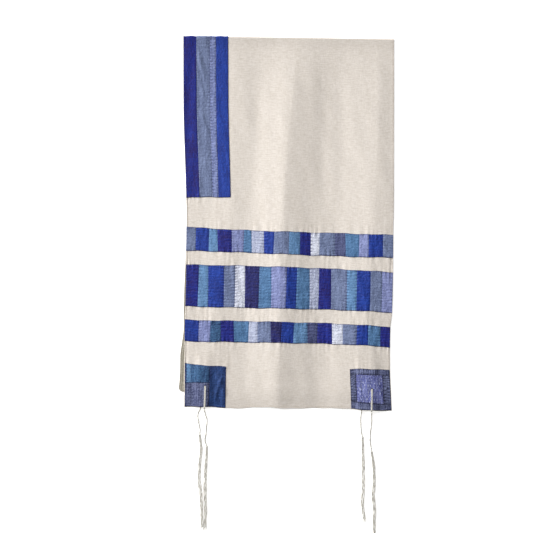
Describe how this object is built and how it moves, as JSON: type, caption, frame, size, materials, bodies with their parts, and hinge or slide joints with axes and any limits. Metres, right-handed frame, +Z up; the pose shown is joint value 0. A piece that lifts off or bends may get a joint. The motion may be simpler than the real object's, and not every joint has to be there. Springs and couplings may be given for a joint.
{
  "type": "tallit prayer shawl",
  "caption": "Prayer shawl of ivory raw silk, folded once and lying flat, with pieced blue silk bands, a striped neckband, corner squares and knotted corner tassels.",
  "frame": {"origin": "on the underside, midway across the plain part of the back layer, on the surface the shawl lies on", "axes": "+X across the cloth, away from the neckband; +Y towards the fold; +Z up from the surface"},
  "size_m": [0.5461, 1.2823, 0.016],
  "materials": {
    "ivory_raw_silk": "plain slubbed raw silk with a low sheen",
    "pieced_blue_silk": "pieced strips of shiny dupion silk in many blues",
    "indigo_silk": "shiny dupion silk",
    "royal_silk": "shiny dupion silk",
    "slate_silk": "shiny dupion silk",
    "lavender_silk": "shiny dupion silk",
    "teal_silk": "shiny dupion silk",
    "white_cord": "twisted undyed wool yarn"
  },
  "bodies": {
    "root": {"cloth": "ivory_raw_silk", "band_front_upper": "pieced_blue_silk", "band_front_middle": "pieced_blue_silk", "band_front_lower": "pieced_blue_silk", "band_back_upper": "pieced_blue_silk", "band_back_middle": "pieced_blue_silk", "band_back_lower": "pieced_blue_silk", "neckband_strip_1": "indigo_silk", "neckband_strip_2": "slate_silk", "neckband_strip_3": "lavender_silk", "neckband_strip_4": "royal_silk", "corner_left_top": "teal_silk", "corner_left_low": "slate_silk", "corner_left_side": "royal_silk", "corner_right_inset": "lavender_silk", "corner_right_top": "teal_silk", "corner_right_low": "teal_silk", "corner_right_inner": "teal_silk", "corner_right_outer": "teal_silk", "corner_back_left": "teal_silk", "corner_back_right": "teal_silk", "tassel_front_left": "white_cord", "tassel_back_left": "white_cord", "tassel_front_right": "white_cord", "tassel_back_right": "white_cord"}
  },
  "joints": []
}
